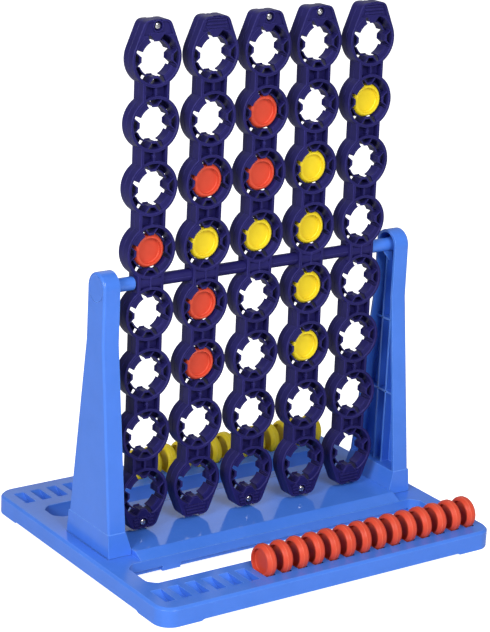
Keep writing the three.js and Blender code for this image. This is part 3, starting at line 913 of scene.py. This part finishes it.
def makePost():
    inner, wall, beyond = post["inner"], post["wall"], 150
    body = leanFace(addPlate(postOutline(0, post["bottom"]), inner, beyond, "X"))
    bevelWhere(body, lambda p: p.x > post["outerTop"] - 0.2, post["edge"], 4)
    bevelWhere(body, lambda p: p.x < inner + 0.1, 0.4, 2)
    hollow = leanFace(addPlate(postOutline(wall, post["plinthTop"] - 1), inner - 1, beyond, "X"), wall)
    combine(body, hollow)

    step = post["step"]
    profile = [(post["plinthInner"], post["bottom"]), (beyond, post["bottom"]), (beyond, post["plinthTop"]),
               (inner - 0.1, post["plinthTop"]), (post["plinthInner"], base["deckTop"])]
    plinth = leanFace(addPlate(profile, -post["plinthCut"], post["plinthCut"], "Y"), -step * 0.6)
    for side in (-1, 1):
        cutBeyond(plinth, (0, side * (post["halfBottom"] + step), post["bottom"]), (0, side, postSpread))
    bevelWhere(plinth, lambda p: True, 0.3, 2)

    ribs = []
    ribTop = column["axleHeight"] - wall
    for y in (-post["ribY"], post["ribY"]):
        ribs.append(addBlock((post["ribInner"], y - post["rib"] / 2, post["plinthTop"] - 1),
                             (beyond, y + post["rib"] / 2, ribTop)))
    for z in post["ribHeights"]:
        half = post["crown"] + (post["kink"] - z) * postSpread - wall / 2
        thick = post["rib"] / 2
        ribs.append(addBlock((post["ribInner"], -half, z - thick), (beyond, half, z + thick)))
    for rib in ribs:
        leanFace(rib, 1)
        bevelWhere(rib, lambda p: p.x < post["ribInner"] + 0.1, 0.3, 2)

    stubEnd, stub = post["outerTop"] - 1, post["stub"]
    profile = [(post["spigot"], post["stubStart"] + 14), (post["spigot"], post["stubStart"]),
               (stub - 0.5, post["stubStart"]), (stub, post["stubStart"] + 0.5), (stub, post["ribInner"] - 2),
               (stub + 1.2, post["ribInner"]), (stub + 1.2, stubEnd), (post["spigot"], stubEnd)]
    hub = moved(addTurned(profile, 48, True, "X"), shift(z=column["axleHeight"]))
    gusset = addPlate(post["gusset"], -post["gussetHalf"], post["gussetHalf"], "Y")
    bevelWhere(gusset, lambda p: True, 0.25, 2)
    (small, large), (near, far) = post["grooveRadii"], post["grooveEnds"]
    ring = addTurned([(small, far), (small, near), (large, near), (large, far)], 64, True, "X")
    combine(body, moved(ring, shift(z=column["axleHeight"])))
    return joinAll([body, plinth, hub, gusset] + ribs)


rightPost = makePost()
leftPost = copyOf(rightPost, turn(180, "Z"))
settle(rightPost, "postRight", bluePlastic, "stand", "blue_plastic", "right_post")
settle(leftPost, "postLeft", bluePlastic, "stand", "blue_plastic", "left_post")
print("posts made")


# ---- discs in the trays

tray = {"lean": 1.2, "leanStep": 2.3,
        "red": {"y": -base["slotY"], "slots": range(7, 21), "sameAsCad": 20},
        "yellow": {"y": base["slotY"], "slots": range(8, 21), "sameAsCad": 16}}

for colour in ("red", "yellow"):
    row = tray[colour]
    for slot in row["slots"]:
        lean = tray["lean"] * math.sin((slot - 1) * tray["leanStep"])
        standing = shift(slotX(slot - 1), row["y"], base["slotZ"]) @ turn(lean, "Y")
        matrix = standing @ turn(90, "Z") @ turn(spin["slot"] * slot, "Y")
        standsFor = [f"{colour}_disc_tray_slot_{slot}"] if slot <= row["sameAsCad"] else []
        settle(copyOf(discMaster, matrix), f"{colour}DiscTray{slot}", discPlastic[colour],
               "stand", f"{colour}_plastic", *standsFor)

for master in (screwShell, threadShell, screwMaster, discMaster):
    bpy.data.objects.remove(master)
print("trays filled")


# ---- studio

studio = {  # in metres
    "aim": (0, 0, 0.2),
    "floor": 6.0, "floorGlow": 0.16, "floorTones": (0.5, 0.56),
    "dim": 0.28, "bright": 0.38, "brightSide": (0.55, 0.78, 0.31),
    "key": {"place": (-2.1, -0.9, 1.2), "size": 1.0, "power": 40},
    "front": {"place": (-0.1, -2.2, 1.7), "size": 1.1, "power": 42},
    "rear": {"place": (0.6, 1.9, 1.5), "size": 1.6, "power": 4.5},
}


def makeFloor():
    dropSelection()
    bpy.ops.mesh.primitive_grid_add(x_subdivisions=8, y_subdivisions=8, size=studio["floor"])
    floor = bpy.context.object
    floor.name = "floor"
    material = bpy.data.materials.new("paleFloor")
    material.use_nodes = True
    tree = material.node_tree
    shader = tree.nodes["Principled BSDF"]
    place = tree.nodes.new("ShaderNodeTexCoord").outputs["Object"]
    deep, light = studio["floorTones"]
    tone = blendColour(tree, cloud(tree, place, 6.0), (deep, deep, deep), (light, light, light))
    tree.links.new(tone, shader.inputs["Base Color"])
    shader.inputs["Roughness"].default_value = 0.7
    shader.inputs["Emission Color"].default_value = (1, 1, 1, 1)
    seen = tree.nodes.new("ShaderNodeLightPath").outputs["Is Camera Ray"]
    tree.links.new(calc(tree, "MAXIMUM", seen, studio["floorGlow"]), shader.inputs["Emission Strength"])
    floor.data.materials.append(material)


def addLamp(name, lamp):
    data = bpy.data.lights.new(name, "AREA")
    data.size = lamp["size"]
    data.energy = lamp["power"]
    light = bpy.data.objects.new(name, data)
    bpy.context.scene.collection.objects.link(light)
    light.location = lamp["place"]
    aim = Vector(studio["aim"]) - light.location
    light.rotation_euler = aim.to_track_quat("-Z", "Y").to_euler()


def makeSky():  # a dim room with one bright wall behind the game, on a white page
    world = bpy.data.worlds.new("paleRoom")
    bpy.context.scene.world = world
    world.use_nodes = True
    tree = world.node_tree
    side = tree.nodes.new("ShaderNodeVectorMath")
    side.operation = "DOT_PRODUCT"
    side.inputs[1].default_value = Vector(studio["brightSide"]).normalized()
    tree.links.new(tree.nodes.new("ShaderNodeTexCoord").outputs["Generated"], side.inputs[0])
    wall = remap(tree, side.outputs["Value"], 0.55, 0.95, studio["dim"], studio["bright"])
    seen = tree.nodes.new("ShaderNodeLightPath").outputs["Is Camera Ray"]
    tree.links.new(calc(tree, "MAXIMUM", wall, seen), tree.nodes["Background"].inputs["Strength"])
    tree.nodes["Background"].inputs["Color"].default_value = (1, 1, 1, 1)


makeFloor()
makeSky()
for name in ("key", "front", "rear"):
    addLamp(name, studio[name])
bpy.context.scene.view_settings.view_transform = "Standard"
print("studio lit")
